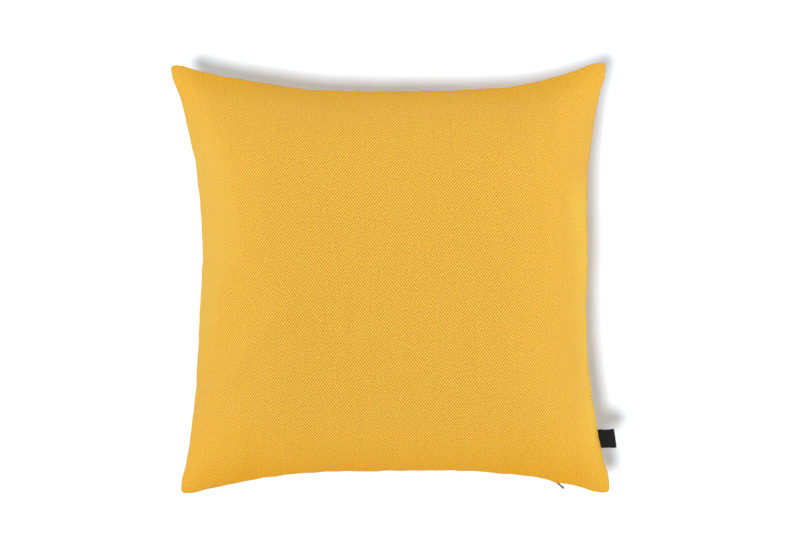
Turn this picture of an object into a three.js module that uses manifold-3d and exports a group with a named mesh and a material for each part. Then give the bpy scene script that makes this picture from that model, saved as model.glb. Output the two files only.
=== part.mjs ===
// A square cushion: two panels of thick woven cloth, sewn together round the rim and filled.
// A folded label is caught in its right-hand seam. Its near seam holds a zip, of which the slider
// and the pull show.
// Millimetres, +Z up. The cushion lies on its back, with its label to the right (+X) and its zip near (-Y).
// The origin is the middle of the flat spot that it rests on.

import * as THREE from "three";
import { mergeVertices } from "three/addons/utils/BufferGeometryUtils.js";
import Module from "manifold-3d";

const wasm = await Module();
wasm.setup();

// The filled cover. Its panels were cut for a 500 mm square, and its ears stand about 480 mm apart.
const CELLS = 32; // along each side of a panel
const CELL_GRADING = 0.86; // how much finer the cells are at the rim: 0 is even, 1 the most
const SEAM_HEIGHT = 67; // over the floor, halfway along a side
const EAR_DROOP = 8; // how much lower the seam lies at the ears
const DRAW_IN = 25; // about how far a side's middle lies inside the line between its ears
const FRONT_RISE = 78; // from the seam up to the crown
const BACK_DEPTH = 76; // from the seam down to where the back would be, with no floor to press it flat
const FLOOR_BLEND = 0.5; // height over which the back bends into its flat spot
const CROWN_POWER = 3.6; // higher is a broader, flatter crown
const SIDE_POWER = 0.78; // lower is a steeper fall to the seam

// The sewn rim, which is blunt: the panels' turned edges lie between them.
const RIM_INSET = 1.2; // how far the panels' edges lie inside the outermost line
const RIM_HALF = 2; // half the rim's thickness
const ZIP_LIP = 8; // how far the rim reaches down where the zip lies in it
const ZIP_FROM = -150; // the zip's two ends along the near side
const ZIP_TO = 186;
const ZIP_END_BLEND = 8; // length over which the rim thickens at each end of the zip

// The gap between one piece and the next.
const CLEARANCE = 0.3;

// The ears: where the two seams would meet if they ran on straight, and how far from there the
// rounding starts.
const EARS = {
  nearLeft: { x: -236.2, y: -243.2, round: 14 },
  nearRight: { x: 250.5, y: -246.2, round: 25 },
  farRight: { x: 244.8, y: 245.8, round: 20 },
  farLeft: { x: -250.3, y: 242.4, round: 20 },
};

// Each side's seam, seen from above. The filling draws it in between the ears.
// along is the place along the side, and out its distance from the centre line.
const SEAMS = {
  near: [
    { along: -200, out: -234.6 },
    { along: -150, out: -224.2 },
    { along: -90, out: -216.8 },
    { along: 0, out: -214.8 },
    { along: 75, out: -214.5 },
    { along: 130, out: -218.2 },
    { along: 172, out: -223.8 },
    { along: 182, out: -226.4 },
    { along: 215, out: -233.9 },
  ],
  far: [
    { along: -218, out: 232.2 },
    { along: -200, out: 227.5 },
    { along: -150, out: 218.5 },
    { along: -100, out: 210.7 },
    { along: -50, out: 207.6 },
    { along: 40, out: 207.8 },
    { along: 100, out: 210.1 },
    { along: 150, out: 215.4 },
    { along: 200, out: 229.2 },
  ],
  left: [
    { along: -200, out: -226.3 },
    { along: -125, out: -216.6 },
    { along: -50, out: -212.5 },
    { along: 38, out: -208.8 },
    { along: 108, out: -214.2 },
    { along: 126, out: -216.2 },
    { along: 160, out: -224.2 },
    { along: 200, out: -233.7 },
  ],
  right: [
    { along: -200, out: 236.9 },
    { along: -150, out: 227.4 },
    { along: -100, out: 220.7 },
    { along: -55, out: 217.9 },
    { along: 25, out: 219.6 },
    { along: 105, out: 219.1 },
    { along: 150, out: 223.5 },
    { along: 200, out: 231.9 },
  ],
};

// Soft puckers that run in from the seams. A negative rise is a trough.
// lean is how far a pucker wanders along its side for each millimetre that it runs in.
const PUCKERS = [
  { side: "left", along: -138, lean: 0.9, wide: 17, reach: 30, rise: -3.5 },
  { side: "left", along: -170, lean: 1.1, wide: 18, reach: 36, rise: 3 },
  { side: "left", along: 122, lean: -0.4, wide: 22, reach: 32, rise: -2.5 },
  { side: "near", along: -150, lean: 0.2, wide: 22, reach: 26, rise: -2 },
  { side: "near", along: -45, lean: 0, wide: 24, reach: 20, rise: -2 },
  { side: "near", along: 133, lean: 0, wide: 20, reach: 22, rise: -2.5 },
  { side: "right", along: 95, lean: 0.3, wide: 24, reach: 28, rise: 2 },
  { side: "right", along: -70, lean: 0.2, wide: 26, reach: 26, rise: -2 },
  { side: "far", along: -188, lean: 0.3, wide: 18, reach: 20, rise: -2.5 },
  { side: "far", along: -60, lean: 0, wide: 26, reach: 24, rise: -2 },
  { side: "far", along: 133, lean: -0.2, wide: 20, reach: 22, rise: -2.5 },
];
const PUCKER_GROWTH = 4; // a pucker has its whole rise where the panel has a quarter of its height

// The label: a woven tape folded in half, with both ends in the seam. It droops a little.
const LABEL_MIDDLE = { x: 234.3, y: -179 }; // where its middle leaves the seam
const LABEL_WIDTH = 20.5; // the tape's width, along the seam
const LABEL_PROUD = 16.5; // from the seam to the fold
const LABEL_ROOT = 7; // how deep its ends go into the seam
const LABEL_LAYER = 1;
const LABEL_GAP = 0.4; // between its two layers
const LABEL_DROOP = 3.5; // how much lower the fold lies than the seam
const LABEL_SKEW = 0.14; // how far its ends and fold lean, to stay in line with the seam
const LABEL_STEPS = 8; // along each layer

// The zip's slider, parked at the zip's right-hand end with its face outwards.
const SLIDER_PLACE = { x: 179, y: -221.4 }; // the middle of its outer face
const SLIDER_TURN = -11.5; // degrees, in line with the seam there
const SLIDER_BELOW_SEAM = 4; // the zip's line lies this far under the rim's outermost line
const SLIDER_LENGTH = 9;
const SLIDER_HEIGHT = 6;
const SLIDER_NARROW_END = 4.6; // its height at the end that the closed teeth leave
const SLIDER_DEPTH = 3.6;
const SLIDER_CORNER = 1.5; // the corner radius at its wide end
const BRIDGE_HALF_SPAN = 3.6; // of the arch on its face that carries the pull
const BRIDGE_REACH = 3.4; // from the face to the middle of the arch's bar
const BRIDGE_BAR = 0.9;
const BRIDGE_WIDTH = 1.5;
const BRIDGE_CORNER = 1.3; // the arch's inner corner radius
const BRIDGE_FOOT = 0.5; // how deep the arch's feet go into the body

// The pull: a flat drop-shaped tab with an eye, which stands edge-up on the bridge.
const PULL_TURN = -29; // degrees, from the zip's own line
const PULL_DIP = 7; // degrees, how far its free end hangs
const PULL_PIVOT = { x: 3.3, y: -2.6 }; // the middle of its eye, from the middle of the slider's face
const PULL_REACH = 16.2; // from the middle of the eye to the free end
const PULL_WIDTH = 5; // at its wide end
const PULL_NECK = 4.2; // its width at the eye
const PULL_THICKNESS = 1.9;
const PULL_SWELL = 4; // how softly the tab widens from its neck
const PULL_CORNER = 0.8; // the corner radius at its eye
const EYE_HALF_LENGTH = 1.7;
const EYE_HALF_WIDTH = 1.25;
const EYE_BAR = 1.1; // of the tab beyond the eye

// The hollow in the rim for the slider.
const HOLLOW_MOUTH = 12; // how far its cut runs out past the slider's face, clear of the rim
const HOLLOW_FLARE = 1; // how much wider it is at the slider's face, for the pull

// A closed solid of a geometry, in the place that the matrix gives.
function solidOf(geometry, matrix = new THREE.Matrix4()) {
  const bare = new THREE.BufferGeometry();
  bare.setAttribute("position", geometry.getAttribute("position").clone());
  if (geometry.index) bare.setIndex(geometry.index.clone());
  const merged = mergeVertices(bare.applyMatrix4(matrix), 1e-4);
  return new wasm.Manifold(
    new wasm.Mesh({
      numProp: 3,
      vertProperties: merged.attributes.position.array,
      triVerts: new Uint32Array(merged.index.array),
    }),
  );
}

// The geometry of a joined or cut solid.
function geometryOf(solid) {
  const { vertProperties, triVerts } = solid.getMesh();
  const geometry = new THREE.BufferGeometry();
  geometry.setAttribute("position", new THREE.BufferAttribute(vertProperties, 3));
  geometry.setIndex(new THREE.BufferAttribute(triVerts, 1));
  geometry.computeVertexNormals();
  return geometry;
}

// One ear: its two shoulders, a little way along each seam, and its rounded tip between them.
function earPoints(ear, alongX, alongY) {
  const corner = new THREE.Vector3(ear.x, ear.y, 0);
  const shoulderTo = (next) => next.clone().sub(corner).setLength(ear.round).add(corner);
  const shoulderX = shoulderTo(alongX);
  const shoulderY = shoulderTo(alongY);
  const tip = shoulderX.clone().add(shoulderY).addScaledVector(corner, 2).divideScalar(4);
  return { tip, shoulderX, shoulderY };
}

// The four sides of the seam as curves. near and far run along +X, left and right along +Y.
function seamCurves() {
  const rows = {
    near: SEAMS.near.map((row) => new THREE.Vector3(row.along, row.out, 0)),
    far: SEAMS.far.map((row) => new THREE.Vector3(row.along, row.out, 0)),
    left: SEAMS.left.map((row) => new THREE.Vector3(row.out, row.along, 0)),
    right: SEAMS.right.map((row) => new THREE.Vector3(row.out, row.along, 0)),
  };
  const nearLeft = earPoints(EARS.nearLeft, rows.near.at(0), rows.left.at(0));
  const nearRight = earPoints(EARS.nearRight, rows.near.at(-1), rows.right.at(0));
  const farRight = earPoints(EARS.farRight, rows.far.at(-1), rows.right.at(-1));
  const farLeft = earPoints(EARS.farLeft, rows.far.at(0), rows.left.at(-1));
  const curve = (points) => new THREE.CatmullRomCurve3(points, false, "centripetal");
  return {
    near: curve([nearLeft.tip, nearLeft.shoulderX, ...rows.near, nearRight.shoulderX, nearRight.tip]),
    far: curve([farLeft.tip, farLeft.shoulderX, ...rows.far, farRight.shoulderX, farRight.tip]),
    left: curve([nearLeft.tip, nearLeft.shoulderY, ...rows.left, farLeft.shoulderY, farLeft.tip]),
    right: curve([nearRight.tip, nearRight.shoulderY, ...rows.right, farRight.shoulderY, farRight.tip]),
  };
}

const seams = seamCurves();

// The place in plan of a panel's point, blended between the four sides. u and v run from -1 to 1.
function planPoint(u, v) {
  const across = (u + 1) / 2;
  const up = (v + 1) / 2;
  const near = seams.near.getPointAt(across);
  const far = seams.far.getPointAt(across);
  const left = seams.left.getPointAt(up);
  const right = seams.right.getPointAt(up);
  const blend = new THREE.Vector3();
  blend.addScaledVector(near, 1 - up).addScaledVector(far, up);
  blend.addScaledVector(left, 1 - across).addScaledVector(right, across);
  blend.addScaledVector(seams.near.getPointAt(0), -(1 - across) * (1 - up));
  blend.addScaledVector(seams.near.getPointAt(1), -across * (1 - up));
  blend.addScaledVector(seams.far.getPointAt(0), -(1 - across) * up);
  blend.addScaledVector(seams.far.getPointAt(1), -across * up);
  return blend;
}

// Grid lines lie closer together near the rim, where the cloth turns down to its seam.
function gridLine(index) {
  const even = (2 * index) / CELLS - 1;
  const quarter = (Math.PI / 2) * CELL_GRADING;
  return Math.sin(even * quarter) / Math.sin(quarter);
}

// The share of its full height that a panel has at u, v.
function fullness(u, v) {
  const across = Math.max(0, 1 - Math.abs(u) ** CROWN_POWER);
  const up = Math.max(0, 1 - Math.abs(v) ** CROWN_POWER);
  return (across * up) ** SIDE_POWER;
}

// How far the puckers lift the cloth at a place in plan. Each is highest at its reach, in from the seam.
function puckerLift(place) {
  const from = {
    near: { along: place.x, depth: place.y - EARS.nearLeft.y },
    far: { along: place.x, depth: EARS.farRight.y - place.y },
    left: { along: place.y, depth: place.x - EARS.farLeft.x },
    right: { along: place.y, depth: EARS.nearRight.x - place.x },
  };
  return PUCKERS.reduce((lift, pucker) => {
    const { along, depth } = from[pucker.side];
    const inwards = Math.max(0, depth - DRAW_IN);
    const run = inwards / pucker.reach;
    const off = (along - pucker.along - pucker.lean * inwards) / pucker.wide;
    return lift + pucker.rise * run * Math.exp(1 - run) * Math.exp(-off * off);
  }, 0);
}

// The height of the seam's outermost line, which falls off softly towards the ears.
function seamHeight(u, v) {
  return SEAM_HEIGHT - EAR_DROOP * Math.abs(u * v) ** 3;
}

// The floor presses the lowest part of the back exactly flat, with a soft bend round it.
function pressedFlat(height) {
  if (height <= -FLOOR_BLEND) return 0;
  if (height >= FLOOR_BLEND) return height;
  return (height + FLOOR_BLEND) ** 2 / (4 * FLOOR_BLEND);
}

// How far the rim reaches down: further along the near side between the zip's ends.
function rimBelow(place, v) {
  if (v > -1) return RIM_HALF;
  const intoZip = Math.min(place.x - ZIP_FROM, ZIP_TO - place.x) / ZIP_END_BLEND;
  return RIM_HALF + (ZIP_LIP - RIM_HALF) * THREE.MathUtils.smoothstep(intoZip, 0, 1);
}

// The cushion's skin: a front and a back panel on one grid, and the rim's outermost line between them.
function cushionGeometry() {
  const points = [];
  const faces = [];
  const lines = CELLS + 1;
  const frontAt = (i, j) => j * lines + i;
  const backAt = (i, j) => lines * lines + frontAt(i, j);
  const rimIndex = new Map();
  const panels = { front: [], back: [] };
  const outerLine = [];
  for (let j = 0; j < lines; j += 1) {
    for (let i = 0; i < lines; i += 1) {
      const u = gridLine(i);
      const v = gridLine(j);
      const place = planPoint(u, v);
      const seam = seamHeight(u, v);
      const full = fullness(u, v);
      if (i % CELLS === 0 || j % CELLS === 0) {
        rimIndex.set(frontAt(i, j), 2 * lines * lines + outerLine.length);
        outerLine.push([place.x, place.y, seam]);
        place.setLength(place.length() - RIM_INSET);
      }
      const lift = puckerLift(place) * Math.min(1, PUCKER_GROWTH * full);
      const rise = RIM_HALF + FRONT_RISE * full + lift;
      const fall = rimBelow(place, v) + BACK_DEPTH * full - lift;
      panels.front.push([place.x, place.y, seam + rise]);
      panels.back.push([place.x, place.y, pressedFlat(seam - fall)]);
    }
  }
  points.push(...panels.front, ...panels.back, ...outerLine);

  const quad = (a, b, c, d, turned) =>
    turned ? faces.push(a, b, d, b, c, d) : faces.push(a, b, c, a, c, d);
  for (let j = 0; j < CELLS; j += 1) {
    for (let i = 0; i < CELLS; i += 1) {
      const turned = i < CELLS / 2 !== j < CELLS / 2;
      quad(frontAt(i, j), frontAt(i + 1, j), frontAt(i + 1, j + 1), frontAt(i, j + 1), turned);
      quad(backAt(i, j), backAt(i, j + 1), backAt(i + 1, j + 1), backAt(i + 1, j), !turned);
    }
  }
  const aroundRim = [];
  for (let i = 0; i < CELLS; i += 1) aroundRim.push([i, 0]);
  for (let j = 0; j < CELLS; j += 1) aroundRim.push([CELLS, j]);
  for (let i = CELLS; i > 0; i -= 1) aroundRim.push([i, CELLS]);
  for (let j = CELLS; j > 0; j -= 1) aroundRim.push([0, j]);
  aroundRim.forEach(([i, j], step) => {
    const [nextI, nextJ] = aroundRim[(step + 1) % aroundRim.length];
    const rim = rimIndex.get(frontAt(i, j));
    const nextRim = rimIndex.get(frontAt(nextI, nextJ));
    quad(rim, nextRim, frontAt(nextI, nextJ), frontAt(i, j), false);
    quad(backAt(i, j), backAt(nextI, nextJ), nextRim, rim, false);
  });

  const geometry = new THREE.BufferGeometry();
  geometry.setAttribute("position", new THREE.Float32BufferAttribute(points.flat(), 3));
  geometry.setIndex(faces);
  return geometry;
}

// The label's middle line, seen from the side: level in the seam, then drooping to its fold.
function labelDrop(run) {
  return run <= 0 ? 0 : -LABEL_DROOP * (run / LABEL_PROUD) ** 2;
}

// A band along the label's middle line, of the given half thickness, with a round end at the fold.
function labelBand(halfThickness, from, to) {
  const upper = [];
  const lower = [];
  for (let step = 0; step <= LABEL_STEPS; step += 1) {
    const run = from + ((to - from) * step) / LABEL_STEPS;
    upper.push(new THREE.Vector2(run, labelDrop(run) + halfThickness));
    lower.unshift(new THREE.Vector2(run, labelDrop(run) - halfThickness));
  }
  const fold = [60, 30, 0, -30, -60].map((degrees) => {
    const angle = THREE.MathUtils.degToRad(degrees);
    const bulge = new THREE.Vector2(Math.cos(angle), Math.sin(angle)).multiplyScalar(halfThickness);
    return bulge.add(new THREE.Vector2(to, labelDrop(to)));
  });
  return new THREE.Shape([...upper, ...fold, ...lower]);
}

// Stands a side view up in its place: its run goes out of the seam, its width along the seam.
function labelPlace(width) {
  const stand = new THREE.Matrix4().makeRotationX(Math.PI / 2);
  const middle = new THREE.Matrix4().makeTranslation(0, width / 2, 0);
  const skew = new THREE.Matrix4().makeShear(0, 0, -LABEL_SKEW, 0, 0, 0);
  const height = seamHeight(1, LABEL_MIDDLE.y / EARS.farRight.y);
  const place = new THREE.Matrix4().makeTranslation(LABEL_MIDDLE.x, LABEL_MIDDLE.y, height);
  return place.multiply(skew).multiply(middle).multiply(stand);
}

// The folded tape: the whole band less the gap between its layers, which is open in the seam.
function labelSolid() {
  const outer = (LABEL_GAP + 2 * LABEL_LAYER) / 2;
  const foldStart = LABEL_PROUD - outer;
  const extrude = (shape, width) =>
    solidOf(new THREE.ExtrudeGeometry(shape, { depth: width, bevelEnabled: false }), labelPlace(width));
  const tape = extrude(labelBand(outer, -LABEL_ROOT, foldStart), LABEL_WIDTH);
  // The gap's band is longer at the root and wider than the tape, so that it cuts clean through.
  const gap = extrude(labelBand(LABEL_GAP / 2, -2 * LABEL_ROOT, foldStart), 2 * LABEL_WIDTH);
  return tape.subtract(gap);
}

// The slit in the seam that holds the label's ends.
function labelSlit() {
  const half = LABEL_GAP / 2 + LABEL_LAYER + CLEARANCE;
  const width = LABEL_WIDTH + 2 * CLEARANCE;
  const slit = new THREE.Shape([
    new THREE.Vector2(-LABEL_ROOT - CLEARANCE, -half),
    new THREE.Vector2(LABEL_ROOT, -half),
    new THREE.Vector2(LABEL_ROOT, half),
    new THREE.Vector2(-LABEL_ROOT - CLEARANCE, half),
  ]);
  return solidOf(new THREE.ExtrudeGeometry(slit, { depth: width, bevelEnabled: false }), labelPlace(width));
}

// The slider's body: a shield shape, as high as the zip's line, that narrows towards its closed teeth.
function sliderBody() {
  const half = SLIDER_LENGTH / 2;
  const wide = SLIDER_HEIGHT / 2;
  const narrow = SLIDER_NARROW_END / 2;
  const shield = new THREE.Shape();
  shield.moveTo(-half, -narrow);
  shield.lineTo(half - SLIDER_CORNER, -wide);
  shield.quadraticCurveTo(half, -wide, half, -wide + SLIDER_CORNER);
  shield.lineTo(half, wide - SLIDER_CORNER);
  shield.quadraticCurveTo(half, wide, half - SLIDER_CORNER, wide);
  shield.lineTo(-half, narrow);
  shield.closePath();
  const body = new THREE.ExtrudeGeometry(shield, {
    depth: SLIDER_DEPTH,
    bevelEnabled: false,
    curveSegments: 3,
  });
  // The extrusion runs along +Z. Turned about X it runs from the outer face, at y = 0, into the cushion.
  return solidOf(body, new THREE.Matrix4().makeRotationX(-Math.PI / 2));
}

// The bridge on its face: an arch seen from above, out of the face and back into it.
function bridgeShape() {
  const outerSpan = BRIDGE_HALF_SPAN + BRIDGE_BAR / 2;
  const innerSpan = BRIDGE_HALF_SPAN - BRIDGE_BAR / 2;
  const outerReach = -(BRIDGE_REACH + BRIDGE_BAR / 2);
  const innerReach = -(BRIDGE_REACH - BRIDGE_BAR / 2);
  const outerCorner = BRIDGE_CORNER + BRIDGE_BAR;
  const arch = new THREE.Shape();
  arch.moveTo(-outerSpan, BRIDGE_FOOT);
  arch.lineTo(-outerSpan, outerReach + outerCorner);
  arch.quadraticCurveTo(-outerSpan, outerReach, -outerSpan + outerCorner, outerReach);
  arch.lineTo(outerSpan - outerCorner, outerReach);
  arch.quadraticCurveTo(outerSpan, outerReach, outerSpan, outerReach + outerCorner);
  arch.lineTo(outerSpan, BRIDGE_FOOT);
  arch.lineTo(innerSpan, BRIDGE_FOOT);
  arch.lineTo(innerSpan, innerReach + BRIDGE_CORNER);
  arch.quadraticCurveTo(innerSpan, innerReach, innerSpan - BRIDGE_CORNER, innerReach);
  arch.lineTo(-innerSpan + BRIDGE_CORNER, innerReach);
  arch.quadraticCurveTo(-innerSpan, innerReach, -innerSpan, innerReach + BRIDGE_CORNER);
  arch.lineTo(-innerSpan, BRIDGE_FOOT);
  arch.closePath();
  return arch;
}

function sliderSolid() {
  const bridge = new THREE.ExtrudeGeometry(bridgeShape(), {
    depth: BRIDGE_WIDTH,
    bevelEnabled: false,
    curveSegments: 4,
  });
  return sliderBody().add(solidOf(bridge, new THREE.Matrix4().makeTranslation(0, 0, -BRIDGE_WIDTH / 2)));
}

// The pull's outline, with its eye at the origin and its free end along +X.
function pullGeometry() {
  const neck = PULL_NECK / 2;
  const wide = PULL_WIDTH / 2;
  const back = -(EYE_HALF_LENGTH + EYE_BAR);
  const roundFrom = PULL_REACH - wide;
  const tab = new THREE.Shape();
  tab.moveTo(back + PULL_CORNER, -neck);
  tab.bezierCurveTo(PULL_SWELL, -neck, roundFrom - PULL_SWELL, -wide, roundFrom, -wide);
  tab.absarc(roundFrom, 0, wide, -Math.PI / 2, Math.PI / 2, false);
  tab.bezierCurveTo(roundFrom - PULL_SWELL, wide, PULL_SWELL, neck, back + PULL_CORNER, neck);
  tab.quadraticCurveTo(back, neck, back, neck - PULL_CORNER);
  tab.lineTo(back, -neck + PULL_CORNER);
  tab.quadraticCurveTo(back, -neck, back + PULL_CORNER, -neck);
  const eye = new THREE.Path();
  eye.moveTo(-EYE_HALF_LENGTH, -EYE_HALF_WIDTH);
  eye.lineTo(-EYE_HALF_LENGTH, EYE_HALF_WIDTH);
  eye.lineTo(EYE_HALF_LENGTH, EYE_HALF_WIDTH);
  eye.lineTo(EYE_HALF_LENGTH, -EYE_HALF_WIDTH);
  eye.closePath();
  tab.holes.push(eye);
  const plate = new THREE.ExtrudeGeometry(tab, {
    depth: PULL_THICKNESS,
    bevelEnabled: false,
    curveSegments: 6,
  });
  // Stood on edge: the thickness lies level, the tab's width upright.
  plate.translate(0, 0, -PULL_THICKNESS / 2);
  return plate.rotateX(Math.PI / 2);
}

// The hollow at the zip's end for the slider.
// It is open to the outside, and wide enough there for the pull to swing out.
function zipHollow(place) {
  const half = SLIDER_LENGTH / 2 + CLEARANCE;
  const back = SLIDER_DEPTH + CLEARANCE;
  const plan = new THREE.Shape([
    new THREE.Vector2(-half, back),
    new THREE.Vector2(-half, -HOLLOW_MOUTH),
    new THREE.Vector2(3 * half, -HOLLOW_MOUTH),
    new THREE.Vector2(half + HOLLOW_FLARE, 0),
    new THREE.Vector2(half, back),
  ]);
  const height = SLIDER_HEIGHT + 2 * CLEARANCE;
  const hollow = new THREE.ExtrudeGeometry(plan, { depth: height, bevelEnabled: false });
  hollow.translate(0, 0, -height / 2);
  return solidOf(hollow, place);
}

const cloth = new THREE.MeshStandardMaterial({ color: "#e9b443", roughness: 0.95, metalness: 0 });
const tape = new THREE.MeshStandardMaterial({ color: "#1b1a1a", roughness: 0.85, metalness: 0 });
const metal = new THREE.MeshStandardMaterial({ color: "#8f7640", roughness: 0.4, metalness: 0.9 });

const object = new THREE.Group();

// Everything on the zip stands in one group, turned in line with the seam at the zip's end.
const zip = new THREE.Group();
const zipHeight = seamHeight(SLIDER_PLACE.x / EARS.nearRight.x, 1) - SLIDER_BELOW_SEAM;
zip.position.set(SLIDER_PLACE.x, SLIDER_PLACE.y, zipHeight);
zip.rotation.z = THREE.MathUtils.degToRad(SLIDER_TURN);
zip.updateMatrix();

const slider = new THREE.Mesh(geometryOf(sliderSolid()), metal);
slider.name = "zip_slider";
zip.add(slider);

const pull = new THREE.Mesh(pullGeometry(), metal);
pull.name = "zip_pull";
pull.position.set(PULL_PIVOT.x, PULL_PIVOT.y, 0);
pull.rotation.order = "ZYX";
pull.rotation.z = THREE.MathUtils.degToRad(PULL_TURN);
pull.rotation.y = THREE.MathUtils.degToRad(PULL_DIP);
zip.add(pull);
object.add(zip);

const filled = solidOf(cushionGeometry()).subtract(labelSlit()).subtract(zipHollow(zip.matrix));
const cushion = new THREE.Mesh(geometryOf(filled), cloth);
cushion.name = "cushion";
object.add(cushion);

const label = new THREE.Mesh(geometryOf(labelSolid()), tape);
label.name = "label";
object.add(label);

export default object;
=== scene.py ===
"""A square cushion of yellow woven cloth, lying on its back and seen from straight above.

Metres, +Z up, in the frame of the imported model: +X runs to the cushion's right, where its label
is sewn in, and its zip lies in the near side (-Y). The floor is at z = 0.
"""

from math import cos, pi, radians, sin

import bpy
import numpy as np
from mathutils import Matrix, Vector


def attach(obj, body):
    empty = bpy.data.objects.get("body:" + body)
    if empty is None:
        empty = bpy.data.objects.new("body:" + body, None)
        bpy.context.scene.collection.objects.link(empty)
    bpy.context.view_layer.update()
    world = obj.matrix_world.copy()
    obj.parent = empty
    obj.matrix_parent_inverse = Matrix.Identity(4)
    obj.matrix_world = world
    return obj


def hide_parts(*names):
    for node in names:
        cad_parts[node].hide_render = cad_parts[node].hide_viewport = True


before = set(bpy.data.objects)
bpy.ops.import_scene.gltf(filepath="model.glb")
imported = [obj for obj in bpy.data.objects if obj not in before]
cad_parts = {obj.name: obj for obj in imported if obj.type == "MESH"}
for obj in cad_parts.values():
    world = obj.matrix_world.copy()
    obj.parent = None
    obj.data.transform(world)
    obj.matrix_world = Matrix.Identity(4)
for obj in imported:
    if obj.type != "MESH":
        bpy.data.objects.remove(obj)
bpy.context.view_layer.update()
bpy.ops.object.select_all(action="DESELECT")


# The cushion: two 500 mm squares of thick basket-woven cloth, sewn face to face round the rim,
# turned out and filled with loose fibre. The filling draws the sides in between four blunt ears,
# and the cushion's weight presses its back flat on the floor.
CUT = 0.5  # the side of each panel as it was cut
SEAM_HEIGHT = 0.067  # over the floor, halfway along a side
EAR_DROOP = 0.008  # how much lower the seam lies at the ears
FRONT_RISE = 0.078  # from the seam up to the crown, before the cloth settles
BACK_DEPTH = 0.076  # from the seam down to where the back would be, with no floor to press it flat
CROWN_POWER = 3.6  # higher is a broader, flatter crown
SIDE_POWER = 0.78  # lower is a steeper fall to the seam
FLOOR_BLEND = 0.004  # height over which the back bends into its flat spot
RIM_INSET = 0.0012  # how far the panels' edges lie inside the outermost line of the rim
RIM_HALF = 0.002  # half the rim's thickness
ZIP_LIP = 0.008  # how far the rim reaches down where the zip lies in it
ZIP_LINE = 0.004  # the zip's slit lies this far under the rim's outermost line
ZIP_FROM = -0.150  # the zip's two ends along the near side
ZIP_TO = 0.186
ZIP_END_BLEND = 0.008  # length over which the rim thickens at each end of the zip

# Where the rim's slit opens wider, for the slider and for the label. middle is the place along the
# side, half and blend are the mouth's half length and how far it fades beyond, gap is how much
# further the slit opens each way, deep how much deeper it goes, and fine half the stretch of the
# side on which the cover's mesh is finer.
ZIP_MOUTH = {
    "middle": 0.1794, "half": 0.0052, "blend": 0.006, "gap": 0.0034, "deep": 0.0046, "fine": 0.014,
}
LABEL_MOUTH = {
    "middle": -0.179, "half": 0.0108, "blend": 0.005, "gap": 0.0017, "deep": 0.0085, "fine": 0.017,
}

# Where the two seams would meet at each ear if they ran on straight, and where the rounding starts.
EARS = {
    "near_left": {"x": -0.2362, "y": -0.2432, "round": 0.014},
    "near_right": {"x": 0.2505, "y": -0.2462, "round": 0.025},
    "far_right": {"x": 0.2448, "y": 0.2458, "round": 0.020},
    "far_left": {"x": -0.2503, "y": 0.2424, "round": 0.020},
}

# Each side's seam seen from above: places along the side, and how far out it lies there.
SEAMS = {
    "near": {
        "along": [-0.200, -0.150, -0.090, 0.000, 0.075, 0.130, 0.172, 0.182, 0.215],
        "out": [-0.2346, -0.2242, -0.2168, -0.2148, -0.2145, -0.2182, -0.2238, -0.2264, -0.2339],
    },
    "far": {
        "along": [-0.218, -0.200, -0.150, -0.100, -0.050, 0.040, 0.100, 0.150, 0.200],
        "out": [0.2322, 0.2275, 0.2185, 0.2107, 0.2076, 0.2078, 0.2101, 0.2154, 0.2292],
    },
    "left": {
        "along": [-0.200, -0.125, -0.050, 0.038, 0.108, 0.126, 0.160, 0.200],
        "out": [-0.2263, -0.2166, -0.2125, -0.2088, -0.2142, -0.2162, -0.2242, -0.2337],
    },
    "right": {
        "along": [-0.200, -0.150, -0.100, -0.055, 0.025, 0.105, 0.150, 0.200],
        "out": [0.2369, 0.2274, 0.2207, 0.2179, 0.2196, 0.2191, 0.2235, 0.2319],
    },
}

# Soft puckers that run in from the seams. A negative rise is a trough.
# lean is how far a pucker wanders along its side for each metre that it runs in.
PUCKERS = [
    {"side": "left", "along": -0.138, "lean": 0.9, "wide": 0.026, "reach": 0.036, "rise": -0.0016},
    {"side": "left", "along": -0.172, "lean": 1.1, "wide": 0.022, "reach": 0.044, "rise": 0.0044},
    {"side": "left", "along": 0.122, "lean": -0.4, "wide": 0.022, "reach": 0.032, "rise": -0.0025},
    {"side": "near", "along": -0.150, "lean": 0.2, "wide": 0.022, "reach": 0.026, "rise": -0.0020},
    {"side": "near", "along": -0.045, "lean": 0.0, "wide": 0.024, "reach": 0.020, "rise": -0.0020},
    {"side": "near", "along": 0.133, "lean": 0.0, "wide": 0.020, "reach": 0.022, "rise": -0.0025},
    {"side": "near", "along": 0.192, "lean": 0.2, "wide": 0.013, "reach": 0.030, "rise": -0.0040},
    {"side": "right", "along": 0.095, "lean": 0.3, "wide": 0.024, "reach": 0.028, "rise": 0.0020},
    {"side": "right", "along": -0.070, "lean": 0.2, "wide": 0.026, "reach": 0.026, "rise": -0.0020},
    {"side": "far", "along": -0.188, "lean": 0.3, "wide": 0.018, "reach": 0.020, "rise": -0.0025},
    {"side": "far", "along": -0.060, "lean": 0.0, "wide": 0.026, "reach": 0.024, "rise": -0.0020},
    {"side": "far", "along": 0.133, "lean": -0.2, "wide": 0.020, "reach": 0.022, "rise": -0.0025},
]

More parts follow.
